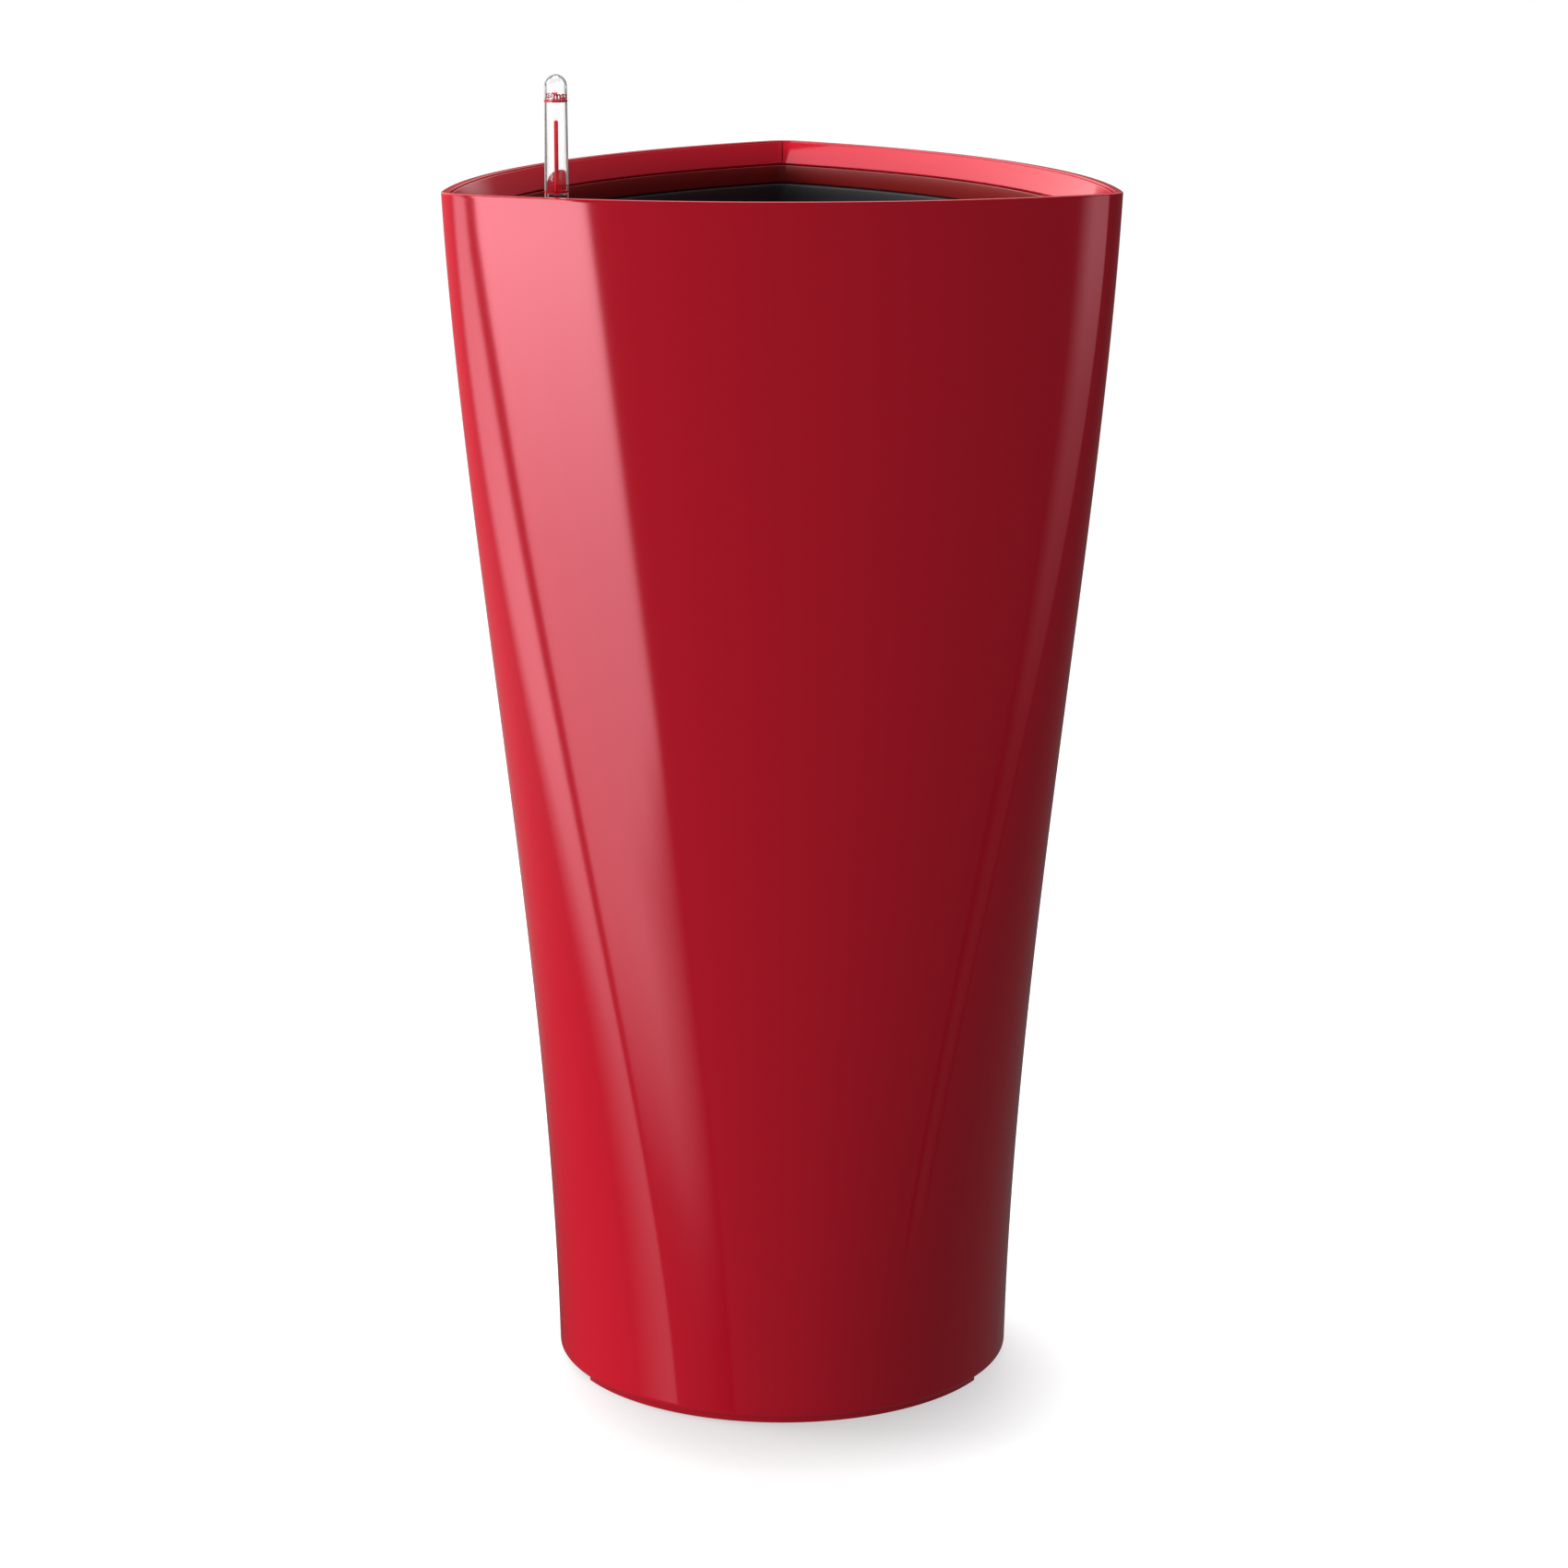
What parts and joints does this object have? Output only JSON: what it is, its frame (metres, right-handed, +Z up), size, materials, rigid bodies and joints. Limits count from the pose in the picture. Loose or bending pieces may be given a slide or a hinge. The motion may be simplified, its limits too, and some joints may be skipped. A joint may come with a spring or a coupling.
{
  "type": "self-watering planter",
  "caption": "Tall glossy planter with a round foot and a triangular rim, a lift-out liner with pull-up frame handles, a water shaft and a float level gauge.",
  "frame": {"origin": "centre of the bounding box in plan, on the floor under the foot", "axes": "+Z up; -Y is the pictured front, a flat side of the triangular rim; +Y is the back corner; the gauge is at the left front corner, -X"},
  "size_m": [0.3962, 0.391, 0.8154],
  "materials": {
    "shell_red": "high gloss",
    "handle_red": "gloss",
    "liner_charcoal": "matt",
    "fitting_black": "satin",
    "gauge_clear": "clear",
    "float_pale": "foamed",
    "rod_red": "gloss",
    "seal_black": "matt"
  },
  "bodies": {
    "shell": {"outer_shell": "shell_red"},
    "liner": {"liner": "liner_charcoal", "liner_frame": "handle_red", "water_shaft": "liner_charcoal", "overflow_pipe": "liner_charcoal"},
    "separator": {"separator_plate": "liner_charcoal", "wick_cup_1": "liner_charcoal", "wick_cup_2": "liner_charcoal", "wick_cup_3": "liner_charcoal"},
    "handle_left": {"handle_left": "handle_red"},
    "handle_right": {"handle_right": "handle_red"},
    "gauge": {"shaft_cap": "fitting_black", "gauge_tube": "gauge_clear", "riser_tube": "fitting_black", "float_chamber": "fitting_black", "chamber_cap": "fitting_black"},
    "float": {"float_body": "float_pale", "float_rod": "rod_red"},
    "drain": {"drain_screw": "fitting_black", "drain_seal": "seal_black"}
  },
  "joints": [
    {"name": "liner_lift", "type": "slide", "parent": "shell", "child": "liner", "axis": [0, 0, 1], "range_m": [0, 0.3]},
    {"name": "handle_left_pull", "type": "slide", "parent": "liner", "child": "handle_left", "axis": [0, 0, 1], "range_m": [0, 0.062]},
    {"name": "handle_right_pull", "type": "slide", "parent": "liner", "child": "handle_right", "axis": [0, 0, 1], "range_m": [0, 0.062]},
    {"name": "gauge_lift", "type": "slide", "parent": "liner", "child": "gauge", "axis": [0, 0, 1], "range_m": [0, 0.26]},
    {"name": "float_travel", "type": "slide", "parent": "gauge", "child": "float", "axis": [0, 0, 1], "range_m": [-0.0414, 0.0112]},
    {"name": "separator_lift", "type": "slide", "parent": "liner", "child": "separator", "axis": [0, 0, 1], "range_m": [0, 0.15]},
    {"name": "drain_turn", "type": "hinge", "parent": "liner", "child": "drain", "pos_m": [0, -0.0305, 0.47], "axis": [0, 0, 1], "range_deg": [0, 90]}
  ]
}
